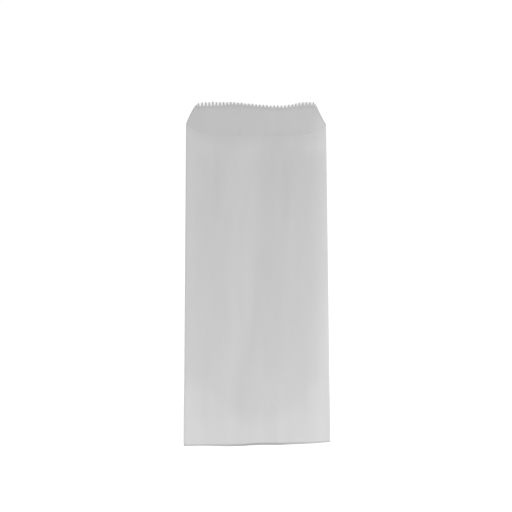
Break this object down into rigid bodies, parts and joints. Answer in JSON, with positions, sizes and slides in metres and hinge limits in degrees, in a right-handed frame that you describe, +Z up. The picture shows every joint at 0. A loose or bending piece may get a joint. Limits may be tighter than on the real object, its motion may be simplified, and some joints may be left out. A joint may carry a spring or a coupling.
{
  "type": "paper bag",
  "caption": "Flat greaseproof paper bag with a toothed lip, a scooped front mouth, a glued seam in the back and a bottom folded over and glued.",
  "frame": {"origin": "under the middle of the bag's box, on the surface that it lies on", "axes": "+X across the bag, +Y from the bottom fold to the toothed lip, +Z up out of the front panel; the bag lies on its back panel"},
  "size_m": [0.12, 0.2918, 0.0037],
  "materials": {
    "greaseproof_paper": "matte"
  },
  "bodies": {
    "root": {"paper_bag": "greaseproof_paper"}
  },
  "joints": []
}
